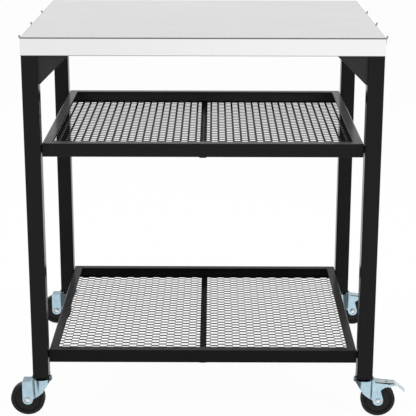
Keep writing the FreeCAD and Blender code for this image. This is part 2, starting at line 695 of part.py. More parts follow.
def brake_lever():
    # the middle of the plate falls evenly from the head to the bend, then turns down to the pedal
    h = LEVER_T / 2
    u0 = HEAD_R + LEVER_GAP

    def mid(u):
        return -LEVER_TOP - h - LEVER_FALL * (u - u0) / (LEVER_BEND_U - u0)

    k = h * PEDAL_SIN / (1 + PEDAL_COS)
    bend = mid(LEVER_BEND_U)
    ex = LEVER_BEND_U + PEDAL_LEN * PEDAL_COS
    ez = bend - PEDAL_LEN * PEDAL_SIN
    pts = [
        (u0, mid(u0) + h, 0), (LEVER_BEND_U + k, bend + h, 3.0), (ex + h * PEDAL_SIN, ez + h * PEDAL_COS, 0),
        (ex - h * PEDAL_SIN, ez - h * PEDAL_COS, 0), (LEVER_BEND_U - k, bend - h, 1.0), (u0, mid(u0) - h, 0),
    ]
    strip = Part.Face(wire(pts, in_xz(-PEDAL_HALF))).extrude(vec(0, 2 * PEDAL_HALF, 0))
    a = ARM_U + LEVER_T
    b = a + 2 * (PEDAL_HALF - LEVER_HALF)
    end = ex + 2 * h
    plan = [
        (u0, -LEVER_HALF, 2.0), (a, -LEVER_HALF, 0), (b, -PEDAL_HALF, 0), (end, -PEDAL_HALF, 4.0),
        (end, PEDAL_HALF, 4.0), (b, PEDAL_HALF, 0), (a, LEVER_HALF, 0), (u0, LEVER_HALF, 2.0),
    ]
    drop = 2 * PEDAL_LEN + LEVER_TOP
    strip = strip.common(Part.Face(wire(plan, in_xy(-drop))).extrude(vec(0, 0, drop)))
    window = box(WINDOW_U, WINDOW_U + WINDOW, -WINDOW / 2, WINDOW / 2, 3 * bend, 0)
    strip = strip.cut(window)
    # two ears carry the lever on its pin, just inside the fork
    ear_out = FORK_IN - EAR_GAP
    ears = []
    for s in (-1, 1):
        y0 = ear_out - EAR_T if s > 0 else -ear_out
        plate = [
            (PIN_U - EAR_R, mid(PIN_U), 0), (PIN_U + EAR_R, mid(PIN_U), 0),
            (PIN_U + EAR_R, -PIN_DROP - EAR_R, 0.98 * EAR_R),
            (PIN_U - EAR_R, -PIN_DROP - EAR_R, 0.98 * EAR_R),
        ]
        ears.append(Part.Face(wire(plate, in_xz(y0))).extrude(vec(0, EAR_T, 0)))
    # the shoe is drawn on the tread with the brake on, then turned back to rest about the pin
    ca = math.cos(math.radians(SHOE_ANGLE))
    sa = math.sin(math.radians(SHOE_ANGLE))

    def at(r, t):
        return (TRAIL + r * ca - t * sa, -AXLE_DROP + r * sa + t * ca, 0)

    r0 = WHEEL_R + SHOE_GAP
    r1 = r0 + SHOE_T
    half = SHOE_LEN / 2
    pad = [at(r0, -half), at(r0, half), at(r1, half), at(r1, -half)]
    shoe = Part.Face(wire(pad, in_xz(-SHOE_HALF))).extrude(vec(0, 2 * SHOE_HALF, 0))
    shoe.rotate(vec(PIN_U, 0, -PIN_DROP), vec(0, 1, 0), -BRAKE_SWING)
    c = shoe.BoundBox.Center
    root = PIN_U + 3 * SHOE_T
    web = [
        (c.x - SHOE_T / 2, c.z, 0), (c.x + SHOE_T / 2, c.z, 0),
        (root + SHOE_T / 2, mid(root), 0), (root - SHOE_T / 2, mid(root), 0),
    ]
    stalk = Part.Face(wire(web, in_xz(-SHOE_HALF / 2))).extrude(vec(0, SHOE_HALF, 0))
    solid = strip.fuse(ears + [shoe, stalk]).removeSplitter()
    bore = rod(PIN_R + PIN_FIT, vec(PIN_U, -HEAD_R, -PIN_DROP), vec(PIN_U, HEAD_R, -PIN_DROP))
    return solid.cut(bore)


def lever_pin():
    y = FORK_OUT
    out = y + PIN_HEAD_H
    solid = rod(PIN_R, vec(PIN_U, -y, -PIN_DROP), vec(PIN_U, y, -PIN_DROP))
    heads = []
    for s in (-1, 1):
        heads.append(rod(PIN_HEAD_R, vec(PIN_U, s * y, -PIN_DROP), vec(PIN_U, s * out, -PIN_DROP)))
    return solid.fuse(heads).removeSplitter()


# Top and frame
save("tabletop", [tabletop()])
hat = stiffener()
save("top_stiffeners", [moved(hat, XC - TOP_W / 6, 0, 0), moved(hat, XC + TOP_W / 6, 0, 0)])
for name, (sx, sy) in CORNERS.items():
    save("leg_" + name, [leg(sx, sy)])
for name in ("front", "rear", "left", "right"):
    save("top_rail_" + name, [top_rail(name)])
save("front_gussets", [brace(-1, -1), brace(1, -1)])
save("rear_gussets", [brace(-1, 1), brace(1, 1)])
studs = []
nuts = []
for pair in stud_places().values():
    for x, y in pair:
        studs.append(rod(STUD_R, vec(XC + x, y, RAIL_Z - STUD_PAST), vec(XC + x, y, UNDER)))
        nut = hexagon(STUD_NUT_AF, STUD_NUT_H, XC + x, y, RAIL_Z - STUD_NUT_H)
        low = vec(XC + x, y, RAIL_Z - 2 * STUD_NUT_H)
        nuts.append(nut.cut(rod(STUD_R, low, vec(XC + x, y, UNDER))))
save("top_studs", studs)
save("top_nuts", nuts)

# Shelves
for name, top in (("upper", SHELF_UPPER_Z), ("lower", SHELF_LOWER_Z)):
    for side in ("front", "rear", "left", "right"):
        save(name + "_shelf_" + side + "_rail", [shelf_rim(side, top)])
    save(name + "_shelf_mesh", [mesh(top)])
    save(name + "_shelf_crossbar", [crossbar(top)])
spacers, bolts = shelf_fixings()
save("shelf_spacers", spacers)
save("shelf_bolts", bolts)

# Hooks
for name, side in (("left", -1), ("right", 1)):
    strip = hook(side)
    save("tool_hooks_" + name, [moved(strip, XC, k * HOOK_STEP, 0) for k in (-1, 0, 1)])
rivets = []
for side in (-1, 1):
    for k in (-1, 0, 1):
        rivets.append(moved(rivet(side), XC, k * HOOK_STEP, 0))
save("hook_rivets", rivets)

# Feet and casters
save("leg_plugs", [plug(sx, sy) for sx, sy in CORNERS.values()])
plain = fork(False)
braked = fork(True)
roller = wheel()
sleeve = bush()
pivot = stem()
lever = brake_lever()
pin = lever_pin()
for name, (sx, sy) in CORNERS.items():
    x = XC + sx * LEG_X
    y = sy * LEG_Y
    turn = 0 if sx > 0 else 180
    head = -1 if sx > 0 else 1
    save(name + "_stem", [moved(pivot, x, y, CASTER_H)])
    save(name + "_fork", [moved(braked if sx > 0 else plain, x, y, CASTER_H, turn)])
    save(name + "_wheel", [moved(roller, x, y, CASTER_H, turn)])
    save(name + "_bush", [moved(sleeve, x, y, CASTER_H, turn)])
    save(name + "_axle", [moved(axle(head), x, y, CASTER_H, turn)])
    save(name + "_axle_nut", [moved(axle_nut(head), x, y, CASTER_H, turn)])
    if sx > 0:
        save(name + "_brake_lever", [moved(lever, x, y, CASTER_H, turn)])
        save(name + "_lever_pin", [moved(pin, x, y, CASTER_H, turn)])
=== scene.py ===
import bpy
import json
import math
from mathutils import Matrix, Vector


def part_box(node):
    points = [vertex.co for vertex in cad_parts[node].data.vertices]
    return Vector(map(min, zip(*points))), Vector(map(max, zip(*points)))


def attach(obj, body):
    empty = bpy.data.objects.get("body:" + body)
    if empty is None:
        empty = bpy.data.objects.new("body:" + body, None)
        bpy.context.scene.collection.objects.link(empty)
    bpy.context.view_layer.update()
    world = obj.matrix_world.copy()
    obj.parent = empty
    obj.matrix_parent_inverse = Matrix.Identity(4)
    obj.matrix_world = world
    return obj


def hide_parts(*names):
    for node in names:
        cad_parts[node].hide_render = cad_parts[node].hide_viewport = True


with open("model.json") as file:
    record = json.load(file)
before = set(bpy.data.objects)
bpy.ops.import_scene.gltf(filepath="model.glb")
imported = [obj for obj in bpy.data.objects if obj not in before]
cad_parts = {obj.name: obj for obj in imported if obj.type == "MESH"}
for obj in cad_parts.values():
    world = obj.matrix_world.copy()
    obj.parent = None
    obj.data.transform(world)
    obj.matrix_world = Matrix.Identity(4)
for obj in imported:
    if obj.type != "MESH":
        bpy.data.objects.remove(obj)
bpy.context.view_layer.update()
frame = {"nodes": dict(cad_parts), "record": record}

# %% [markdown]
# # An outdoor pizza oven table, dressed for a studio picture
#
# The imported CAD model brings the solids: the folded top, legs, rims, hooks and casters. This
# lesson adds what a solid model leaves out. That is the fine hexagonal mesh, the weld beads,
# the balls in the swivel heads, and above all the finishes: satin stainless, black powder coat,
# bright blue zinc and hard black wheels. Everything is in metres, in the CAD model's own frame.

nodes = frame["nodes"]


def mm(value):
    return value / 1000.0


top_low, top_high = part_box("tabletop")
print("worktop", [round(v, 4) for v in (top_high - top_low)])

# %% [markdown]
# ## The camera
#
# The picture was taken from nearly straight in front with a long lens, a little above the
# worktop. The camera below was found by fitting the edges of the top, the legs, both shelves
# and the wheels, so the same edges fall on the same places. A camera looks along its own -Z,
# so its matrix takes the sideways, upward and backward directions as columns.

# %% Camera
CAMERA_PLACE = Vector((0.01154, -3.01925, 1.28551))
CAMERA_SIDE = Vector((0.99999, 0.00455, 0.00137))
CAMERA_UP = Vector((-0.00259, 0.28072, 0.95979))
LENS_MM = 113.90
SENSOR_MM = 36.0

side = CAMERA_SIDE.normalized()
back = side.cross(CAMERA_UP.normalized()).normalized()
up = back.cross(side).normalized()
camera_data = bpy.data.cameras.new("studio camera")
camera_data.lens = LENS_MM
camera_data.sensor_width = SENSOR_MM
camera = bpy.data.objects.new("studio camera", camera_data)
bpy.context.scene.collection.objects.link(camera)
turn = Matrix((side, up, back)).transposed().to_4x4()
camera.matrix_world = Matrix.Translation(CAMERA_PLACE) @ turn
bpy.context.scene.camera = camera
bpy.context.scene.view_settings.view_transform = "Standard"
print("camera at", [round(v, 3) for v in CAMERA_PLACE], "lens", LENS_MM)

# %% [markdown]
# ## Node helpers
#
# Shader and geometry trees are built in code. Short helpers add a node with its settings,
# join two sockets, do a sum, make a soft ramp and mix two shaders, which keeps each tree
# readable as a list of steps.

# %% Node helpers
WHITE = (1, 1, 1, 1)


def put(tree, kind, **settings):
    node = tree.nodes.new(kind)
    for key, value in settings.items():
        setattr(node, key, value)
    return node


def join(tree, source, target):
    tree.links.new(source, target)


def ramp(tree, value, low, high, start, end):
    step = put(tree, "ShaderNodeMapRange", interpolation_type="SMOOTHSTEP")
    ends = {"From Min": low, "From Max": high, "To Min": start, "To Max": end}
    for label, number in ends.items():
        step.inputs[label].default_value = number
    join(tree, value, step.inputs["Value"])
    return step.outputs["Result"]


def sum_of(tree, operation, first, second=None):
    node = put(tree, "ShaderNodeMath", operation=operation)
    for socket, value in zip(node.inputs, (first, second)):
        if isinstance(value, (int, float)):
            socket.default_value = value
        elif value is not None:
            join(tree, value, socket)
    return node.outputs[0]


def mixed(tree, share, first, second):
    mix = put(tree, "ShaderNodeMixShader")
    for socket, source in zip(mix.inputs, (share, first, second)):
        join(tree, source, socket)
    return mix.outputs[0]


def fresh(name):
    material = bpy.data.materials.new(name)
    material.use_nodes = True
    tree = material.node_tree
    tree.nodes.clear()
    out = put(tree, "ShaderNodeOutputMaterial")
    shader = put(tree, "ShaderNodeBsdfPrincipled")
    join(tree, shader.outputs["BSDF"], out.inputs["Surface"])
    return material, tree, shader


print("node helpers ready")

# %% [markdown]
# ## The studio
#
# The background is pure white and the worktop's steel shows its surroundings back. Light Path
# sorts the rays: camera rays see white, mirror rays see walls that darken upwards under a paler
# ceiling, and all other rays get an even, plain light. The flat sheet mirrors a low part of the
# walls, which is a little darker than white, and so it stands out from the background.

# %% World
WALL_SPAN = 0.0, 0.60
WALL_TONES = 1.0, 0.34
CEILING_SPAN = 0.70, 1.0
CEILING_LIFT = 0.0, 0.46
PLAIN_LIGHT = 0.62

world = bpy.data.worlds.new("white studio")
bpy.context.scene.world = world
world.use_nodes = True
wt = world.node_tree
wt.nodes.clear()


def background(strength):
    light = put(wt, "ShaderNodeBackground")
    light.inputs["Color"].default_value = WHITE
    if isinstance(strength, float):
        light.inputs["Strength"].default_value = strength
    else:
        join(wt, strength, light.inputs["Strength"])
    return light.outputs[0]


w_path = put(wt, "ShaderNodeLightPath").outputs
w_split = put(wt, "ShaderNodeSeparateXYZ")
join(wt, put(wt, "ShaderNodeTexCoord").outputs["Generated"], w_split.inputs[0])
upward = w_split.outputs["Z"]
walls = ramp(wt, upward, *WALL_SPAN, *WALL_TONES)
ceiling = ramp(wt, upward, *CEILING_SPAN, *CEILING_LIFT)
mirrored = background(sum_of(wt, "ADD", walls, ceiling))
lit = mixed(wt, w_path["Is Glossy Ray"], background(PLAIN_LIGHT), mirrored)
looked_at = sum_of(wt, "MAXIMUM", w_path["Is Camera Ray"], w_path["Is Transmission Ray"])
w_out = put(wt, "ShaderNodeOutputWorld")
join(wt, mixed(wt, looked_at, lit, background(1.0)), w_out.inputs["Surface"])
print("world nodes", len(wt.nodes))

# %% [markdown]
# ## The floor
#
# The floor is one plain sheet. It looks white to the camera and keeps a faint shadow, because a
# twentieth of it stays pale paint there. In mirror rays it glows with a painted reflection:
# painted shade under the table and painted dark patches in a few places around it, which give
# bright metal its dark bands, and the whole sheet is painted darker towards the left, for the
# light that falls more from the right. Each patch is a soft rectangle. Its row says along which
# measure it lies, where it starts and ends there, how soft those two edges are, and then how
# near and how far from the middle it reaches, in front and behind.

# %% Floor
FLOOR_SIZE = 40.0
FLOOR_HEIGHT = mm(-0.5)
FLOOR_PAINT = (0.86, 0.86, 0.86, 1)
# how dark the painted shade and painted dark patches make the floor's mirror glow
PAINTED_PATCH_SHADE = 0.92
SEEN_GLOW, MIRROR_GLOW = 0.95, 0.9
NEAR_BLUR, FAR_BLUR = 0.03, 0.05
# painted shade: the floor's mirror glow darkens towards the left
LEFT_SHADE_SPAN = -0.9, 0.7
LEFT_SHADE_TONES = 0.86, 1.0

half_floor = FLOOR_SIZE / 2
floor_mesh = bpy.data.meshes.new("studio floor")
floor_signs = (-1, -1), (1, -1), (1, 1), (-1, 1)
floor_corners = [(x * half_floor, y * half_floor, FLOOR_HEIGHT) for x, y in floor_signs]
floor_mesh.from_pydata(floor_corners, [], [(0, 1, 2, 3)])
floor = bpy.data.objects.new("studio floor", floor_mesh)
bpy.context.scene.collection.objects.link(floor)
floor_mat = bpy.data.materials.new("white floor")
floor_mat.use_nodes = True
ft = floor_mat.node_tree
ft.nodes.clear()
f_path = put(ft, "ShaderNodeLightPath").outputs
f_place = put(ft, "ShaderNodeSeparateXYZ")
join(ft, put(ft, "ShaderNodeTexCoord").outputs["Object"], f_place.inputs[0])
sideways = f_place.outputs["X"]
aside = sum_of(ft, "ABSOLUTE", sideways)
along = sum_of(ft, "ABSOLUTE", f_place.outputs["Y"])


# painted reflection: one soft dark patch in the floor's mirror glow
def painted_patch(across, start, end, blur, near, far):
    begins = ramp(ft, across, start, start + blur, 0.0, 1.0)
    ends = ramp(ft, across, end - blur, end, 1.0, 0.0)
    front = ramp(ft, along, near, near + NEAR_BLUR, 0.0, 1.0)
    rear = ramp(ft, along, far - FAR_BLUR, far, 1.0, 0.0)
    width = sum_of(ft, "MULTIPLY", begins, ends)
    return sum_of(ft, "MULTIPLY", width, sum_of(ft, "MULTIPLY", front, rear))


# painted shade under the table and painted dark patches around it, seen in mirror rays only
PAINTED_PATCHES = {
    "under the table": (aside, -1.0, 0.34, 0.10, -1.0, 0.38),
    "beside both ends": (aside, 0.44, 1.2, 0.04, -1.0, 0.355),
    "off the left corners": (sideways, -1.2, -0.44, 0.04, 0.40, 0.58),
    "right of the middle": (sideways, 0.0, 0.26, 0.04, 0.30, 0.52),
}
shade = None
for outline in PAINTED_PATCHES.values():
    dark = painted_patch(*outline)
    shade = dark if shade is None else sum_of(ft, "MAXIMUM", shade, dark)
# painted shade: the mirror glow is darker towards the left, for light that falls more from the
# right
painted_left_shade = ramp(ft, sideways, *LEFT_SHADE_SPAN, *LEFT_SHADE_TONES)
open_floor = sum_of(ft, "SUBTRACT", 1.0, sum_of(ft, "MULTIPLY", shade, PAINTED_PATCH_SHADE))
f_seen = sum_of(ft, "MAXIMUM", f_path["Is Camera Ray"], f_path["Is Transmission Ray"])
glow = sum_of(ft, "MAXIMUM", sum_of(ft, "MULTIPLY", painted_left_shade, open_floor), f_seen)
seen_share = sum_of(ft, "MULTIPLY", f_seen, SEEN_GLOW)
mirror_share = sum_of(ft, "MULTIPLY", f_path["Is Glossy Ray"], MIRROR_GLOW)
f_paint = put(ft, "ShaderNodeBsdfDiffuse")
f_paint.inputs["Color"].default_value = FLOOR_PAINT
f_glow = put(ft, "ShaderNodeEmission")
f_glow.inputs["Color"].default_value = WHITE
join(ft, glow, f_glow.inputs["Strength"])
f_share = sum_of(ft, "MAXIMUM", seen_share, mirror_share)
f_out = put(ft, "ShaderNodeOutputMaterial")
join(ft, mixed(ft, f_share, f_paint.outputs[0], f_glow.outputs[0]), f_out.inputs["Surface"])
floor.data.materials.append(floor_mat)
print("floor", floor.dimensions[:], "with", len(PAINTED_PATCHES), "painted_patches")

# %% [markdown]
# ## The lamps
#
# Three soft boxes light the paint: two large windows from the front corners and a panel
# overhead. They are hidden from mirror rays, because a bright square in the zinc would tell of a
# lamp that a white studio doesn't show.

# %% Lamps
LOW_AIM, HIGH_AIM = (0, 0, 0.5), (0, 0, 0.8)


def soft_lamp(name, place, aim, size, power):
    data = bpy.data.lights.new(name, "AREA")
    data.shape = "RECTANGLE"
    data.size, data.size_y = size
    data.energy = power
    lamp = bpy.data.objects.new(name, data)
    bpy.context.scene.collection.objects.link(lamp)
    toward = (Vector(aim) - Vector(place)).normalized()
    facing = toward.to_track_quat("-Z", "Y").to_matrix().to_4x4()
    lamp.matrix_world = Matrix.Translation(place) @ facing
    lamp.visible_glossy = False
    return lamp


lamps = [
    soft_lamp("left window", (-3.2, -2.2, 2.6), LOW_AIM, size=(2.4, 2.4), power=57.0),
    soft_lamp("right window", (3.0, -2.6, 2.2), LOW_AIM, size=(2.0, 2.4), power=70.0),
    soft_lamp("overhead panel", (0.0, 0.4, 3.2), HIGH_AIM, size=(2.6, 2.2), power=48.0),
]
print(len(lamps), "lamps")

# %% [markdown]
# ## Shared effects
#
# Three effects repeat over the object, so each is built once as a node group and used with its
# own numbers. "Rolled lines" gives the fine streaks of rolled and brushed sheet by stretching a
# noise along one direction. "Orange peel" is the soft skin of powder coat. "Passing hands" is
# the faint cloud of polish and dust on anything that is handled. Groups give out only values,
# the shader itself stays in each material.

# %% Effect groups
NUMBER = "NodeSocketFloat"
ARROW = "NodeSocketVector"


def group(name, inputs, outputs):
    tree = bpy.data.node_groups.new(name, "ShaderNodeTree")
    for label, kind, value in inputs:
        socket = tree.interface.new_socket(label, in_out="INPUT", socket_type=kind)
        if value is not None:
            socket.default_value = value
    for label, kind in outputs:
        tree.interface.new_socket(label, in_out="OUTPUT", socket_type=kind)
    return tree, put(tree, "NodeGroupInput"), put(tree, "NodeGroupOutput")


rolled, r_in, r_out = group(
    "rolled lines",
    [
        ("Place", ARROW, None), ("Stretch", ARROW, (4.0, 900.0, 900.0)),
        ("Low", NUMBER, 0.2), ("High", NUMBER, 0.4),
    ],
    [("Streak", NUMBER), ("Roughness", NUMBER)],
)
r_scale = put(rolled, "ShaderNodeVectorMath", operation="MULTIPLY")
join(rolled, r_in.outputs["Place"], r_scale.inputs[0])
join(rolled, r_in.outputs["Stretch"], r_scale.inputs[1])
r_noise = put(rolled, "ShaderNodeTexNoise")
r_noise.inputs["Scale"].default_value = 1.0
r_noise.inputs["Detail"].default_value = 3.0
r_noise.inputs["Roughness"].default_value = 0.6
join(rolled, r_scale.outputs[0], r_noise.inputs["Vector"])
r_map = put(rolled, "ShaderNodeMapRange")
join(rolled, r_noise.outputs[0], r_map.inputs["Value"])
join(rolled, r_in.outputs["Low"], r_map.inputs["To Min"])
join(rolled, r_in.outputs["High"], r_map.inputs["To Max"])
join(rolled, r_noise.outputs[0], r_out.inputs["Streak"])
join(rolled, r_map.outputs["Result"], r_out.inputs["Roughness"])

peel, p_in, p_out = group(
    "orange peel",
    [("Place", ARROW, None), ("Grain", NUMBER, 900.0)],
    [("Height", NUMBER), ("Speckle", NUMBER)],
)
SPECKLE_FINER = 2.3
p_soft = put(peel, "ShaderNodeTexNoise")
p_soft.inputs["Detail"].default_value = 1.0
join(peel, p_in.outputs["Place"], p_soft.inputs["Vector"])
join(peel, p_in.outputs["Grain"], p_soft.inputs["Scale"])
p_fine = put(peel, "ShaderNodeTexVoronoi", feature="F1")
join(peel, p_in.outputs["Place"], p_fine.inputs["Vector"])
join(peel, sum_of(peel, "MULTIPLY", p_in.outputs["Grain"], SPECKLE_FINER), p_fine.inputs["Scale"])
join(peel, p_soft.outputs[0], p_out.inputs["Height"])
join(peel, p_fine.outputs["Distance"], p_out.inputs["Speckle"])

cloud, c_in, c_out = group(
    "passing hands",
    [("Place", ARROW, None), ("Size", NUMBER, 6.0), ("Low", NUMBER, 0.0), ("High", NUMBER, 1.0)],
    [("Amount", NUMBER)],
)
CLOUD_BEGINS, CLOUD_FULL = 0.35, 0.7
c_noise = put(cloud, "ShaderNodeTexNoise")
c_noise.inputs["Detail"].default_value = 4.0
c_noise.inputs["Roughness"].default_value = 0.62
join(cloud, c_in.outputs["Place"], c_noise.inputs["Vector"])
join(cloud, c_in.outputs["Size"], c_noise.inputs["Scale"])
c_map = put(cloud, "ShaderNodeMapRange", clamp=True)
c_map.inputs["From Min"].default_value = CLOUD_BEGINS
c_map.inputs["From Max"].default_value = CLOUD_FULL
join(cloud, c_noise.outputs[0], c_map.inputs["Value"])
join(cloud, c_in.outputs["Low"], c_map.inputs["To Min"])
join(cloud, c_in.outputs["High"], c_map.inputs["To Max"])
join(cloud, c_map.outputs["Result"], c_out.inputs["Amount"])
print("groups", [g.name for g in bpy.data.node_groups])

# %% [markdown]
# ## Material helpers
#
# Every finish reads Object coordinates, which here are metres on the table itself, so a streak
# or a painted highlight on a ledge can be put at a real place. The helpers fetch those
# coordinates, use a group, mix two colours, lay a flat colour over a masked place, and turn a
# value into a bump. A colour mix has one set of sockets for each kind of data, so the colour ones
# are named by number.

# %% Material helpers
MIX_SHARE, MIX_FIRST, MIX_SECOND, MIX_RESULT = 0, 6, 7, 2


def place_on(tree):
    return put(tree, "ShaderNodeTexCoord").outputs["Object"]


def axes_of(tree, place):
    axes = put(tree, "ShaderNodeSeparateXYZ")
    join(tree, place, axes.inputs[0])
    return axes.outputs


def use(tree, shared, place, **values):
    node = put(tree, "ShaderNodeGroup", node_tree=shared)
    join(tree, place, node.inputs["Place"])
    for key, value in values.items():
        node.inputs[key].default_value = value
    return node.outputs


def blend_colours(tree, factor, first, second):
    mix = put(tree, "ShaderNodeMix", data_type="RGBA")
    join(tree, factor, mix.inputs[MIX_SHARE])
    mix.inputs[MIX_FIRST].default_value = (*first, 1)
    mix.inputs[MIX_SECOND].default_value = (*second, 1)
    return mix.outputs[MIX_RESULT]


def overlaid(tree, tone, mask, cover):
    mix = put(tree, "ShaderNodeMix", data_type="RGBA")
    join(tree, mask, mix.inputs[MIX_SHARE])
    join(tree, tone, mix.inputs[MIX_FIRST])
    mix.inputs[MIX_SECOND].default_value = (*cover, 1)
    return mix.outputs[MIX_RESULT]


def bumped(tree, shader, height, strength, distance):
    bump = put(tree, "ShaderNodeBump")
    bump.inputs["Strength"].default_value = strength
    bump.inputs["Distance"].default_value = distance
    join(tree, height, bump.inputs["Height"])
    join(tree, bump.outputs["Normal"], shader.inputs["Normal"])


print("material helpers ready")

# %% [markdown]
# ## The worktop's steel
#
# The top is one satin stainless sheet, polished along its length before it was folded. The
# noise is stretched along X for that. Round the bends the lines keep to the sheet: along the
# front and rear lips they still run from left to right, so there the height takes over from
# the depth, and down the side lips they stand upright, because the pattern takes no height.
# The bend round the top and the lip's lower edge are painted darker than the sheet: the bend as
# a painted dark reflection, the lower edge as a plain darker band. Both are a millimetre or two
# wide, so a mask by place lays a darker steel there. The hooks, the rivets, the axles and the
# galvanised parts take the same recipe with other numbers.

# %% Stainless steel
BEND_BAND = mm(2.4)
LOWER_EDGE_BAND = mm(1.1)
# painted shade: the darker steel laid on the bend and the lip's lower edge
PAINTED_BEND_STEEL = (0.24, 0.24, 0.24)
LIP_FACE = top_high.y - mm(1.5)


def unfolded(tree, place):
    axes = axes_of(tree, place)
    on_lip = sum_of(tree, "GREATER_THAN", sum_of(tree, "ABSOLUTE", axes["Y"]), LIP_FACE)
    across = sum_of(tree, "ADD", axes["Y"], sum_of(tree, "MULTIPLY", axes["Z"], on_lip))
    flat = put(tree, "ShaderNodeCombineXYZ")
    join(tree, axes["X"], flat.inputs["X"])
    join(tree, across, flat.inputs["Y"])
    return flat.outputs[0]


# painted shade: a mask for the bend round the top and the lip's lower edge
def painted_dark_edges(tree, place):
    axes = axes_of(tree, place)
    middle, half = (top_low + top_high) / 2, (top_high - top_low) / 2
    past = []
    for axis, centre, reach in (("X", middle.x, half.x), ("Y", middle.y, half.y)):
        away = sum_of(tree, "ABSOLUTE", sum_of(tree, "SUBTRACT", axes[axis], centre))
        past.append(sum_of(tree, "GREATER_THAN", away, reach - BEND_BAND))
    high = sum_of(tree, "GREATER_THAN", axes["Z"], top_high.z - BEND_BAND)
    bend = sum_of(tree, "MULTIPLY", high, sum_of(tree, "MAXIMUM", *past))
    lower_edge = sum_of(tree, "LESS_THAN", axes["Z"], top_low.z + LOWER_EDGE_BAND)
    return sum_of(tree, "MAXIMUM", bend, lower_edge)


def steel(name, first, second, stretch, low, high, smudge=0.06, folded=False):
    material, tree, shader = fresh(name)
    place = place_on(tree)
    sheet = unfolded(tree, place) if folded else place
    lines = use(tree, rolled, sheet, Stretch=stretch, Low=low, High=high)
    hands = use(tree, cloud, place, Size=7.0, Low=0.0, High=smudge)
    worn = sum_of(tree, "ADD", lines["Roughness"], hands["Amount"])
    join(tree, worn, shader.inputs["Roughness"])
    tone = blend_colours(tree, lines["Streak"], first, second)
    if folded:
        tone = overlaid(tree, tone, painted_dark_edges(tree, place), PAINTED_BEND_STEEL)
    join(tree, tone, shader.inputs["Base Color"])
    shader.inputs["Metallic"].default_value = 1.0
    bumped(tree, shader, lines["Streak"], strength=0.05, distance=mm(0.02))
    return material


worktop_steel = steel("satin stainless sheet", (0.93, 0.93, 0.93), (0.97, 0.97, 0.97),
                      stretch=(5.0, 700.0, 700.0), low=0.20, high=0.32, smudge=0.02, folded=True)
# painted shade: the hook strips are a darker copy of the stainless, for the shade on them
hook_steel = steel("satin stainless strip", (0.24, 0.24, 0.25), (0.38, 0.38, 0.39),
                   stretch=(500.0, 60.0, 500.0), low=0.25, high=0.4)
bright_steel = steel("bright plated steel", (0.84, 0.84, 0.83), (0.93, 0.93, 0.92),
                     stretch=(300.0, 300.0, 300.0), low=0.10, high=0.2, smudge=0.03)
dull_steel = steel("galvanised sheet", (0.50, 0.52, 0.54), (0.68, 0.70, 0.72),
                   stretch=(60.0, 60.0, 60.0), low=0.35, high=0.55)
print("steels", [m.name for m in (worktop_steel, hook_steel, bright_steel, dull_steel)])

# %% [markdown]
# ## Black powder coat
#
# Legs, rims, braces and mesh wear the same satin black paint, baked from powder. It is a deep
# neutral black that turns bright at a glancing angle, as every smooth paint does, and its skin
# has a soft orange peel. The front faces stay dark because the reflection is weak head on. The
# braces and the upper rear rim take a lighter copy of the black, painted light, and the lower
# rims a darker copy, painted shade. The level ledges of the rims carry a painted highlight, less
# of it on the lower ones, so above a given height the tone is lifted.

# %% Powder coat
DEEP_COAT = (0.008, 0.008, 0.0081), (0.014, 0.014, 0.0142)
# painted shade: a darker copy of the black for the lower shelf's rims
SHADED_LOW_COAT = (0.005, 0.005, 0.0051), (0.009, 0.009, 0.0092)
# painted light: a lighter copy of the black for the braces and the upper rear rim
LIT_COAT = (0.019, 0.019, 0.0191), (0.032, 0.032, 0.0322)
MESH_COAT = (0.003, 0.003, 0.003), (0.006, 0.006, 0.006)
# painted highlight: the tone laid on the level ledges of the rims, fainter on the lower ones
LEDGE_HIGHLIGHT, FAINT_LEDGE_HIGHLIGHT = (0.10, 0.10, 0.10), (0.035, 0.035, 0.035)
LEDGE_SKIN = mm(0.6)
SMOOTHER, ROUGHER = 0.03, 0.06


def powder(name, tones, rough, peel_height=0.04, level=0.05, ledge_highlight=None, above=0.0):
    material, tree, shader = fresh(name)
    place = place_on(tree)
    skin = use(tree, peel, place, Grain=650.0)
    hands = use(tree, cloud, place, Size=9.0, Low=rough - SMOOTHER, High=rough + ROUGHER)
    join(tree, hands["Amount"], shader.inputs["Roughness"])
    tone = blend_colours(tree, skin["Speckle"], *tones)
    # painted highlight on the ledges above the given height
    if ledge_highlight:
        ledge = sum_of(tree, "GREATER_THAN", axes_of(tree, place)["Z"], above)
        tone = overlaid(tree, tone, ledge, ledge_highlight)
    join(tree, tone, shader.inputs["Base Color"])
    shader.inputs["Specular IOR Level"].default_value = level
    bumped(tree, shader, skin["Height"], strength=0.25, distance=mm(peel_height))
    return material


upper_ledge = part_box("upper_shelf_front_rail")[1].z - LEDGE_SKIN
lower_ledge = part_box("lower_shelf_front_rail")[1].z - LEDGE_SKIN
frame_black = powder("black powder coat", DEEP_COAT, rough=0.17)
mesh_black = powder("black coated mesh", MESH_COAT, rough=0.25, peel_height=0.03)
# painted light: the braces take the lighter copy of the black
lit_plate_black = powder("black powder coat with painted light", LIT_COAT, rough=0.24, level=0.10)
upper_rim = powder("black rim with painted ledge highlight", DEEP_COAT, rough=0.17, ledge_highlight=LEDGE_HIGHLIGHT, above=upper_ledge)
# painted light: the upper rear rim takes the lighter copy of the black
lit_upper_rear_rim = powder("lit black rim with painted ledge highlight", LIT_COAT, rough=0.2, ledge_highlight=LEDGE_HIGHLIGHT,
                        above=upper_ledge)
# painted shade: the lower rims take the darker copy of the black
shaded_lower_rim = powder("black rim", SHADED_LOW_COAT, rough=0.17, ledge_highlight=FAINT_LEDGE_HIGHLIGHT, above=lower_ledge)
print("ledges at", round(upper_ledge, 4), "and", round(lower_ledge, 4))

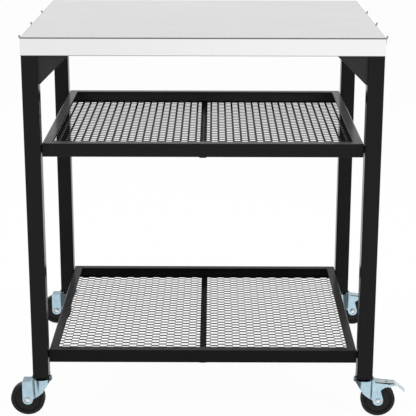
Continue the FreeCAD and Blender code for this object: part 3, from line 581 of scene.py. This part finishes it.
# %% [markdown]
# ## Bright blue zinc
#
# The pressed forks are zinc plated and passivated, which leaves a thin film with a cold blue
# cast that drifts to a slightly greener tone. The drift is a broad noise between two blues.
# The brake levers have a paler, milky film, so they get the same recipe with rougher numbers
# and less metal. Their edges carry a nearly black painted shadow, for the shadow gap under the
# lever's plate. A mask by place finds them: far from the lever's middle line, and on its flat
# plate, short of the pedal.

# %% Zinc
LEVER_EDGE = mm(9.2)
LEVER_PLATE = mm(44.0)
# painted shadow: the near-black laid on the lever's edges
EDGE_SHADOW_BLACK = (0.012, 0.012, 0.014)

lever_low, lever_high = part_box("front_right_brake_lever")


# painted shadow: a mask for the lever plate's edges
def painted_edge_shadow(tree, place):
    axes = axes_of(tree, place)
    middle = abs(lever_low.y + lever_high.y) / 2
    off = sum_of(tree, "SUBTRACT", sum_of(tree, "ABSOLUTE", axes["Y"]), middle)
    at_edge = sum_of(tree, "GREATER_THAN", sum_of(tree, "ABSOLUTE", off), LEVER_EDGE)
    on_plate = sum_of(tree, "LESS_THAN", axes["X"], lever_low.x + LEVER_PLATE)
    return sum_of(tree, "MULTIPLY", at_edge, on_plate)


def plated(name, first, second, low, high, edge=False, metal=1.0):
    material, tree, shader = fresh(name)
    place = place_on(tree)
    drift = use(tree, cloud, place, Size=60.0, Low=0.0, High=1.0)
    lines = use(tree, rolled, place, Stretch=(260.0, 260.0, 900.0), Low=low, High=high)
    join(tree, lines["Roughness"], shader.inputs["Roughness"])
    tone = blend_colours(tree, drift["Amount"], first, second)
    if edge:
        tone = overlaid(tree, tone, painted_edge_shadow(tree, place), EDGE_SHADOW_BLACK)
    join(tree, tone, shader.inputs["Base Color"])
    shader.inputs["Metallic"].default_value = metal
    bumped(tree, shader, lines["Streak"], strength=0.10, distance=mm(0.02))
    return material


zinc = plated("blue zinc plate", (0.43, 0.60, 0.70), (0.56, 0.73, 0.82), low=0.09, high=0.16)
pale_zinc = plated("pale zinc plate", (0.54, 0.68, 0.74), (0.69, 0.79, 0.82), low=0.20, high=0.32,
                   edge=True, metal=0.6)
print("zinc", zinc.name, pale_zinc.name)

# %% [markdown]
# ## Moulded plastics
#
# The wheels are hard black plastic and the plugs in the feet a softer, duller one. Both come
# out of a mould, so they share a fine even grain, and the wheels are worn to a warmer black.

# %% Plastics
WORN_SMOOTHER, WORN_ROUGHER = 0.04, 0.08
PLASTIC_LEVEL = 0.12


def moulded(name, first, second, rough, grain, depth):
    material, tree, shader = fresh(name)
    place = place_on(tree)
    skin = use(tree, peel, place, Grain=grain)
    low, high = rough - WORN_SMOOTHER, rough + WORN_ROUGHER
    hands = use(tree, cloud, place, Size=30.0, Low=low, High=high)
    join(tree, hands["Amount"], shader.inputs["Roughness"])
    tone = blend_colours(tree, skin["Height"], first, second)
    join(tree, tone, shader.inputs["Base Color"])
    shader.inputs["Specular IOR Level"].default_value = PLASTIC_LEVEL
    bumped(tree, shader, skin["Height"], strength=0.2, distance=mm(depth))
    return material


plug_black = moulded("black moulded plug", (0.003, 0.003, 0.003), (0.006, 0.006, 0.006),
                     rough=0.45, grain=900.0, depth=0.05)
wheel_black = moulded("hard black wheel", (0.009, 0.009, 0.009), (0.024, 0.023, 0.022),
                      rough=0.40, grain=400.0, depth=0.08)
print("plastics", plug_black.name, wheel_black.name)

# %% [markdown]
# ## Finishes onto the solids
#
# The record gives each solid a slot, which is the stuff it is made of. Most solids take the
# finish of their slot. A few of one stuff look different on the real table, such as the pale
# levers or the dusty rims, so they are picked out by name.

# %% Finishes onto the solids
FINISH = {
    "stainless_top": worktop_steel, "galvanised": dull_steel, "black_frame": frame_black,
    "black_mesh": mesh_black, "zinc": zinc, "hook_steel": hook_steel, "rivet_steel": bright_steel,
    "black_plastic": plug_black, "wheel_black": wheel_black, "bush_steel": dull_steel,
    "axle_steel": bright_steel,
}
slot_of = {row["node"]: row["material_slot"] for row in frame["record"]["subparts"]}


def finish_of(name):
    if name.endswith("brake_lever"):
        return pale_zinc
    if name.endswith("lever_pin"):
        return zinc
    if name.endswith("gussets"):
        return lit_plate_black
    if name.startswith("upper_shelf") and name.endswith("rail"):
        return lit_upper_rear_rim if "rear" in name else upper_rim
    if name.startswith("lower_shelf") and name.endswith("rail"):
        return shaded_lower_rim
    return FINISH[slot_of[name]]


for name, piece in nodes.items():
    finish = finish_of(name)
    if not piece.material_slots:
        piece.data.materials.append(finish)
    for place in piece.material_slots:
        place.material = finish
print(len(nodes), "solids have their finish")

# %% [markdown]
# ## Geometry tree helpers
#
# What repeats is laid out by Geometry Nodes. Each tree below starts from the same few helpers:
# one makes a tree with named inputs, one joins three values to a vector, one closes a tree, and
# one runs a tree once and keeps the result as a plain mesh at the origin.

# %% Tree helpers


def geometry_tree(name, inputs):
    tree = bpy.data.node_groups.new(name, "GeometryNodeTree")
    tree.interface.new_socket("Geometry", in_out="OUTPUT", socket_type="NodeSocketGeometry")
    tree.interface.new_socket("Geometry", in_out="INPUT", socket_type="NodeSocketGeometry")
    for label, kind, value in inputs:
        socket = tree.interface.new_socket(label, in_out="INPUT", socket_type=kind)
        if value is not None:
            socket.default_value = value
    return tree, put(tree, "NodeGroupInput"), put(tree, "NodeGroupOutput")


def three(tree, x, y, z):
    node = put(tree, "ShaderNodeCombineXYZ")
    for socket, value in zip(node.inputs, (x, y, z)):
        if isinstance(value, (int, float)):
            socket.default_value = value
        else:
            join(tree, value, socket)
    return node.outputs[0]


def close_tree(tree, geometry, finish, out):
    real = put(tree, "GeometryNodeRealizeInstances")
    join(tree, geometry, real.inputs["Geometry"])
    paint = put(tree, "GeometryNodeSetMaterial")
    join(tree, real.outputs["Geometry"], paint.inputs["Geometry"])
    join(tree, finish, paint.inputs["Material"])
    join(tree, paint.outputs["Geometry"], out.inputs["Geometry"])


def grown(name, tree, start=None, place=(0, 0, 0), **values):
    seed = bpy.data.objects.new(name + " seed", start or bpy.data.meshes.new(name + " seed"))
    bpy.context.scene.collection.objects.link(seed)
    modifier = seed.modifiers.new("grow", "NODES")
    modifier.node_group = tree
    for item in tree.interface.items_tree:
        if item.in_out == "INPUT" and item.name in values:
            modifier[item.identifier] = values[item.name]
    graph = bpy.context.evaluated_depsgraph_get()
    mesh = bpy.data.meshes.new_from_object(seed.evaluated_get(graph), depsgraph=graph)
    mesh.transform(Matrix.Translation(Vector(place)))
    mesh.name = name
    bpy.data.objects.remove(seed)
    piece = bpy.data.objects.new(name, mesh)
    bpy.context.scene.collection.objects.link(piece)
    print(name, len(mesh.polygons), "faces")
    return piece


# %% [markdown]
# ## The shelf mesh
#
# Each shelf is one sheet of expanded metal, slit and stretched into staggered six-sided
# openings. A cell repeats over a thousand times, so Geometry Nodes lay it out: a grid of
# points, every second column moved by half a cell, and on each point the bond and the two
# strands that one cell adds. The points are numbered column by column, so a point's number
# tells whether its column is odd. The slitting leaves bonds and strands standing at a slant. A
# border strip closes the sheet where it was sheared. The tree takes the number of columns and
# rows and the cell's sizes as named inputs.

# %% Mesh tree
net, n_in, n_out = geometry_tree("staggered hexagon net", [
    ("Columns", "NodeSocketInt", 40), ("Rows", "NodeSocketInt", 32),
    ("Pitch X", NUMBER, mm(17.0)), ("Pitch Y", NUMBER, mm(17.45)), ("Flat", NUMBER, mm(15.6)),
    ("Bond", NUMBER, mm(2.2)), ("Strand", NUMBER, mm(1.2)), ("Thickness", NUMBER, mm(1.2)),
    ("Twist", NUMBER, 0.5), ("Sheet X", NUMBER, mm(680)), ("Sheet Y", NUMBER, mm(577)),
    ("Border", NUMBER, mm(3.0)), ("Finish", "NodeSocketMaterial", None),
])
given = n_in.outputs


def less(first, second):
    return sum_of(net, "SUBTRACT", first, second)


def times(first, second):
    return sum_of(net, "MULTIPLY", first, second)


grid = put(net, "GeometryNodeMeshGrid")
for axis, steps in (("X", given["Columns"]), ("Y", given["Rows"])):
    join(net, steps, grid.inputs["Vertices " + axis])
    join(net, times(less(steps, 1), given["Pitch " + axis]), grid.inputs["Size " + axis])
number = put(net, "GeometryNodeInputIndex").outputs[0]
in_columns = sum_of(net, "DIVIDE", sum_of(net, "ADD", number, 0.5), given["Rows"])
odd = sum_of(net, "MODULO", sum_of(net, "FLOOR", in_columns), 2)
half_pitch = times(given["Pitch Y"], 0.5)
moved = put(net, "GeometryNodeSetPosition")
join(net, grid.outputs["Mesh"], moved.inputs["Geometry"])
join(net, three(net, 0.0, times(less(odd, 0.5), half_pitch), 0.0), moved.inputs["Offset"])


def laid(body, rotation, place=None):
    lay = put(net, "GeometryNodeTransform")
    join(net, body, lay.inputs["Geometry"])
    join(net, rotation, lay.inputs["Rotation"])
    if place is not None:
        join(net, place, lay.inputs["Translation"])
    return lay.outputs["Geometry"]


def bar(length, width, x, y, turn_z=0.0, tilt=0.0):
    block = put(net, "GeometryNodeMeshCube")
    join(net, three(net, length, width, given["Thickness"]), block.inputs["Size"])
    slanted = laid(block.outputs["Mesh"], three(net, tilt, 0.0, 0.0))
    return laid(slanted, three(net, 0.0, 0.0, turn_z), three(net, x, y, 0.0))


run = less(given["Pitch X"], given["Flat"])
slope = sum_of(net, "ARCTAN2", half_pitch, run)
squares = sum_of(net, "ADD", times(run, run), times(half_pitch, half_pitch))
reach = sum_of(net, "SQRT", squares)
corner_x = times(given["Pitch X"], 0.5)
half_rise = times(half_pitch, 0.5)
cell = put(net, "GeometryNodeJoinGeometry")
bond = bar(given["Flat"], given["Bond"], 0.0, 0.0, tilt=given["Twist"])
join(net, bond, cell.inputs["Geometry"])
for way in (1, -1):
    rise, lean = times(half_rise, way), times(slope, way)
    strand = bar(reach, given["Strand"], corner_x, rise, lean, given["Twist"])
    join(net, strand, cell.inputs["Geometry"])
spread = put(net, "GeometryNodeInstanceOnPoints")
join(net, moved.outputs["Geometry"], spread.inputs["Points"])
join(net, cell.outputs["Geometry"], spread.inputs["Instance"])
whole = put(net, "GeometryNodeJoinGeometry")
join(net, spread.outputs["Instances"], whole.inputs["Geometry"])
for way in (0.5, -0.5):
    off_x = times(less(given["Sheet X"], given["Border"]), way)
    off_y = times(less(given["Sheet Y"], given["Border"]), way)
    join(net, bar(given["Sheet X"], given["Border"], 0.0, off_y), whole.inputs["Geometry"])
    join(net, bar(given["Border"], given["Sheet Y"], off_x, 0.0), whole.inputs["Geometry"])
close_tree(net, whole.outputs["Geometry"], given["Finish"], n_out)
print("net tree", len(net.nodes), "nodes")

# %% [markdown]
# ## Both shelves
#
# One tree makes both nets. The upper shelf is seen at a lower angle and looks denser, so its
# sheet lies flatter and its strands are wider. Each net takes the place of the coarse mesh that
# the CAD model carries, and has the same outline. A width just short of a whole number of cells
# counts as whole, and one row is left out to make room for the border and the half-cell shift.

# %% Both shelves
PITCH_X, PITCH_Y = mm(17.0), mm(17.45)
NEARLY_WHOLE = 0.02
ROWS_LEFT_OUT = 1
SHEETS = {
    "upper": {"Bond": mm(1.75), "Strand": mm(4.4), "Twist": 0.30, "Flat": mm(16.2)},
    "lower": {"Bond": mm(2.25), "Strand": mm(1.1), "Twist": 0.52},
}
for level, strands in SHEETS.items():
    node = level + "_shelf_mesh"
    low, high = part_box(node)
    size = high - low
    columns = int(size.x / PITCH_X + NEARLY_WHOLE)
    rows = int(size.y / PITCH_Y) - ROWS_LEFT_OUT
    outline = {"Pitch X": PITCH_X, "Pitch Y": PITCH_Y, "Sheet X": size.x, "Sheet Y": size.y}
    piece = grown(level + "_net", net, None, (low + high) / 2, Columns=columns, Rows=rows,
                  Finish=mesh_black, **outline, **strands)
    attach(piece, "frame")
    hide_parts(node)
    print(level, columns, "columns", rows, "rows")

# %% [markdown]
# ## Weld beads
#
# The frame is welded from behind and from below, where nobody sees it from the front. A bead is
# a row of small overlapping drops of metal that froze one after the other. The seams are drawn
# as plain edges, and a tree resamples each edge at the welder's step and sets a low round drop
# on every point. The paint was baked over them, so they take the frame's black. A random value
# has sockets for each kind of data, so those for plain numbers are named by number.

# %% Bead tree
SMALLEST_DROP, LARGEST_DROP = 0.85, 1.12
DROP_SEGMENTS, DROP_RINGS = 8, 5
BEAD_SEED = 7
PLAIN_MIN, PLAIN_MAX, PLAIN_OUT = 2, 3, 1
bead, b_in, b_out = geometry_tree("weld bead", [
    ("Step", NUMBER, mm(1.5)), ("Radius", NUMBER, mm(1.5)), ("Finish", "NodeSocketMaterial", None),
])
as_curve = put(bead, "GeometryNodeMeshToCurve")
join(bead, b_in.outputs["Geometry"], as_curve.inputs["Mesh"])
even = put(bead, "GeometryNodeResampleCurve", mode="LENGTH")
join(bead, as_curve.outputs["Curve"], even.inputs["Curve"])
join(bead, b_in.outputs["Step"], even.inputs["Length"])
points = put(bead, "GeometryNodeCurveToPoints", mode="EVALUATED")
join(bead, even.outputs["Curve"], points.inputs["Curve"])
drop = put(bead, "GeometryNodeMeshUVSphere")
drop.inputs["Segments"].default_value = DROP_SEGMENTS
drop.inputs["Rings"].default_value = DROP_RINGS
join(bead, b_in.outputs["Radius"], drop.inputs["Radius"])
smooth = put(bead, "GeometryNodeSetShadeSmooth")
join(bead, drop.outputs["Mesh"], smooth.inputs["Geometry"])
uneven = put(bead, "FunctionNodeRandomValue", data_type="FLOAT")
uneven.inputs[PLAIN_MIN].default_value = SMALLEST_DROP
uneven.inputs[PLAIN_MAX].default_value = LARGEST_DROP
uneven.inputs["Seed"].default_value = BEAD_SEED
beads = put(bead, "GeometryNodeInstanceOnPoints")
join(bead, points.outputs["Points"], beads.inputs["Points"])
join(bead, smooth.outputs["Geometry"], beads.inputs["Instance"])
join(bead, uneven.outputs[PLAIN_OUT], beads.inputs["Scale"])
close_tree(bead, beads.outputs["Instances"], b_in.outputs["Finish"], b_out)
print("bead tree", len(bead.nodes), "nodes")

# %% [markdown]
# ## Seams of the frame
#
# At each corner one seam climbs the back of the brace where it meets the leg, one follows the
# brace along the underside of the rail, one joins that underside to the leg, and one does the
# same under the side rail. Every seam is taken from the solids' boxes and stands off them by a
# hair, so the drops are partly sunk in the metal.

# %% Seams of the frame
SEAM_OFF = mm(0.4)
BRACE_TIP = mm(4)
BRACE_RUN = mm(66)
PAST_BRACE = mm(2)
SEAM_SHORT = mm(1)


def seam_mesh(name, seams):
    mesh = bpy.data.meshes.new(name)
    corners = [Vector(p) for seam in seams for p in seam]
    mesh.from_pydata(corners, [(2 * i, 2 * i + 1) for i in range(len(seams))], [])
    return mesh


def welded(name, seams, **values):
    piece = grown(name, bead, seam_mesh(name + " seams", seams), Finish=frame_black, **values)
    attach(piece, "frame")


def corner_seams(end_name, side_name, forward, inward):
    leg_low, leg_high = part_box("leg_" + end_name + "_" + side_name)
    rail_low, rail_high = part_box("top_rail_" + end_name)
    side_low, side_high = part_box("top_rail_" + side_name)
    plate_low, plate_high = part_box(end_name + "_gussets")
    x = (leg_high.x if inward > 0 else leg_low.x) + SEAM_OFF * inward
    y = (plate_high.y if forward > 0 else plate_low.y) + SEAM_OFF * forward
    leg_y = (leg_high.y if forward > 0 else leg_low.y) + SEAM_OFF * forward
    far_y = rail_high.y if forward > 0 else rail_low.y
    under, side_under = rail_low.z - SEAM_OFF, side_low.z - SEAM_OFF
    left, right = side_low.x + SEAM_SHORT, side_high.x - SEAM_SHORT
    return [
        ((x, y, plate_low.z + BRACE_TIP), (x, y, under)),
        ((x, y, under), (x + inward * BRACE_RUN, y, under)),
        ((x, y + forward * PAST_BRACE, under), (x, far_y - forward * SEAM_SHORT, under)),
        ((left, leg_y, side_under), (right, leg_y, side_under)),
    ]


seams = []
for side_name, inward in (("left", 1), ("right", -1)):
    for end_name, forward in (("front", 1), ("rear", -1)):
        seams += corner_seams(end_name, side_name, forward, inward)
welded("frame_welds", seams)
print(len(seams), "seams on the legs and rails")

# %% [markdown]
# ## Seams of the shelves
#
# A rim is four channels, mitred and welded up the inside of each corner, and its crossbar is
# welded across both ends. The mesh lies on the crossbar and is only tacked there, which is the
# same bead with a long step and a larger drop.

# %% Seams of the shelves
RIM_WALL = mm(1.5)
RIM_CORNER_SHORT = mm(4)
TACK_STEP = mm(35.2)
TACK_RADIUS = mm(2.0)
TACK_INSET = mm(20)
TACK_UP = mm(0.3)
CROSSBAR_SEAM_UP = mm(0.6)

for level in ("upper", "lower"):
    seams = []
    left_low, left_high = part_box(level + "_shelf_left_rail")
    right_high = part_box(level + "_shelf_right_rail")[1]
    bar_low, bar_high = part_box(level + "_shelf_crossbar")
    for x, inward in ((left_low.x + RIM_WALL, 1), (right_high.x - RIM_WALL, -1)):
        for y, forward in ((left_low.y + RIM_WALL, 1), (left_high.y - RIM_WALL, -1)):
            at = (x + inward * SEAM_OFF, y + forward * SEAM_OFF)
            foot, head = left_low.z + RIM_CORNER_SHORT, left_high.z - RIM_CORNER_SHORT
            seams.append(((*at, foot), (*at, head)))
    seam_z = bar_low.z + CROSSBAR_SEAM_UP
    for y in (bar_low.y, bar_high.y):
        seams.append(((bar_low.x + SEAM_SHORT, y, seam_z), (bar_high.x - SEAM_SHORT, y, seam_z)))
    welded(level + "_shelf_welds", seams)
    net_low, net_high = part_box(level + "_shelf_mesh")
    middle_x = (bar_low.x + bar_high.x) / 2
    first_y, last_y, tack_z = net_low.y + TACK_INSET, net_high.y - TACK_INSET, net_low.z + TACK_UP
    tack_line = ((middle_x, first_y, tack_z), (middle_x, last_y, tack_z))
    welded(level + "_mesh_tacks", [tack_line], Step=TACK_STEP, Radius=TACK_RADIUS)
    print(level, len(seams), "seams and a row of tacks")

# %% [markdown]
# ## Turned details
#
# Balls, rings and screw heads are all turned about an axis. One helper makes such a closed
# shape from a list of rings, each with a radius and a height, and a ring may be a hexagon, as
# in the socket of a screw. The rings are joined with quads and both ends are closed.

# %% Turning helpers


def hexagon(across_flats):
    def radius(angle):
        sector = (angle + math.pi / 6) % (math.pi / 3) - math.pi / 6
        return across_flats / 2 / math.cos(sector)
    return radius


def turned(rings, middle, toward, steps=36, closed_loop=False):
    facing = Vector(toward).to_track_quat("Z", "Y").to_matrix()
    points, faces = [], []
    for shape, height in rings:
        for i in range(steps):
            angle = 2 * math.pi * i / steps
            radius = shape(angle) if callable(shape) else shape
            spot = Vector((radius * math.cos(angle), radius * math.sin(angle), height))
            points.append(Vector(middle) + facing @ spot)
    count = len(rings)
    for k in range(count if closed_loop else count - 1):
        a, b = k * steps, (k + 1) % count * steps
        for i in range(steps):
            j = (i + 1) % steps
            faces.append((a + i, a + j, b + j, b + i))
    if not closed_loop:
        faces.append(tuple(range(steps - 1, -1, -1)))
        faces.append(tuple((count - 1) * steps + i for i in range(steps)))
    return points, faces


def torus(radius, thick, middle, toward, around=10):
    rings = []
    for k in range(around):
        angle = 2 * math.pi * k / around
        rings.append((radius + thick * math.cos(angle), thick * math.sin(angle)))
    return turned(rings, middle, toward, steps=48, closed_loop=True)


def built(name, parts, finish, body, smooth_below=40):
    points, faces = [], []
    for some_points, some_faces in parts:
        base = len(points)
        points += some_points
        faces += [tuple(base + i for i in face) for face in some_faces]
    mesh = bpy.data.meshes.new(name)
    mesh.from_pydata(points, [], faces)
    mesh.materials.append(finish)
    mesh.polygons.foreach_set("use_smooth", [True] * len(mesh.polygons))
    mesh.set_sharp_from_angle(angle=math.radians(smooth_below))
    mesh.update()
    piece = bpy.data.objects.new(name, mesh)
    bpy.context.scene.collection.objects.link(piece)
    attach(piece, body)
    print(name, len(faces), "faces")
    return piece


# %% [markdown]
# ## Shelf screws
#
# Each shelf hangs on four button-head screws that pass through the rim and a spacer into the
# leg. Their heads sit inside the rim's channel. Each pair below is a radius and a height over
# the seat of the head. The socket is a true six-sided hole, so the rings run from the round head
# to a hexagon, then down to the hexagon's floor.

# %% Button heads
SCREW_LONG = mm(11.0)
SCREW_DOWN = mm(15.0)
SCREW_IN = mm(14.0)
shank = [(mm(2.4), -SCREW_LONG), (mm(3.0), -SCREW_LONG + mm(0.6)), (mm(3.0), -mm(0.02))]
button = [
    (mm(5.0), 0.0), (mm(5.0), mm(0.5)), (mm(4.75), mm(1.3)), (mm(4.2), mm(2.1)),
    (mm(3.4), mm(2.75)), (mm(2.75), mm(3.0)),
]
socket_hole = [(hexagon(mm(4.0)), mm(2.95)), (hexagon(mm(3.9)), mm(1.2))]
screw = shank + button + socket_hole
screws = []
for level in ("upper", "lower"):
    left_low, left_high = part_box(level + "_shelf_left_rail")
    right_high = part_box(level + "_shelf_right_rail")[1]
    z = left_high.z - SCREW_DOWN
    for y in (left_low.y + SCREW_IN, left_high.y - SCREW_IN):
        screws.append(turned(screw, (left_low.x + RIM_WALL, y, z), (1, 0, 0)))
        screws.append(turned(screw, (right_high.x - RIM_WALL, y, z), (-1, 0, 0)))
bolt_slot = slot_of["shelf_bolts"]
shelf_screws = built("shelf_screws", screws, FINISH[bolt_slot], "frame", smooth_below=35)
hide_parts("shelf_bolts")
print(len(screws), "shelf screws")

# %% [markdown]
# ## Caster details
#
# A swivel head turns on a ring of balls that shows in the gap under the leg. The wheel's faces
# carry two moulded rings, at the foot of the tyre and round the hub, and a pressed collar sits
# under the axle's head. The balls and the collar turn with the fork, the rings with the wheel.

# %% Casters
BALLS = 18
BALL_R = mm(1.5)
RACE_R = mm(18.0)
BALL_UP = mm(1.75)
HEAD_RIM = mm(5.7)
RING_RADII = mm(27.5), mm(14.5)
RING_OUT = mm(6.5)
RING_THICK = mm(0.45)
AXLE_HEAD = mm(4.0)
COLLAR_R, COLLAR_THICK = mm(6.6), mm(0.5)
COLLAR_SINK = mm(0.45)
BALL_RINGS, BALL_STEPS = 8, 12
ROUND_BELOW = 60


def ball(middle):
    rings = []
    for k in range(1, BALL_RINGS):
        angle = math.pi * k / BALL_RINGS
        rings.append((BALL_R * math.sin(angle), -BALL_R * math.cos(angle)))
    return turned(rings, middle, (0, 0, 1), steps=BALL_STEPS)


def race_balls(corner):
    stem_low, stem_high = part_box(corner + "_stem")
    centre_x, centre_y = (stem_low.x + stem_high.x) / 2, (stem_low.y + stem_high.y) / 2
    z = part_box(corner + "_fork")[1].z - HEAD_RIM + BALL_UP
    balls = []
    for i in range(BALLS):
        angle = 2 * math.pi * i / BALLS
        x, y = centre_x + RACE_R * math.cos(angle), centre_y + RACE_R * math.sin(angle)
        balls.append(ball((x, y, z)))
    return balls


def wheel_rings(corner):
    wheel_low, wheel_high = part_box(corner + "_wheel")
    hub = (wheel_low + wheel_high) / 2
    rings = []
    for face in (-1, 1):
        for radius in RING_RADII:
            middle = (hub.x, hub.y + face * RING_OUT, hub.z)
            rings.append(torus(radius, RING_THICK, middle, (0, 1, 0)))
    return rings


def axle_collar(corner):
    axle_low, axle_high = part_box(corner + "_axle")
    x, z = (axle_low.x + axle_high.x) / 2, (axle_low.z + axle_high.z) / 2
    y = axle_low.y + AXLE_HEAD - COLLAR_SINK
    return torus(COLLAR_R, COLLAR_THICK, (x, y, z), (0, 1, 0))


for corner in ("front_left", "front_right", "rear_left", "rear_right"):
    swivel, roller = corner + "_swivel", corner + "_roller"
    built(corner + "_race_balls", race_balls(corner), bright_steel, swivel, ROUND_BELOW)
    built(corner + "_wheel_rings", wheel_rings(corner), wheel_black, roller, ROUND_BELOW)
    built(corner + "_axle_collar", [axle_collar(corner)], zinc, swivel, ROUND_BELOW)
print("caster details ready")
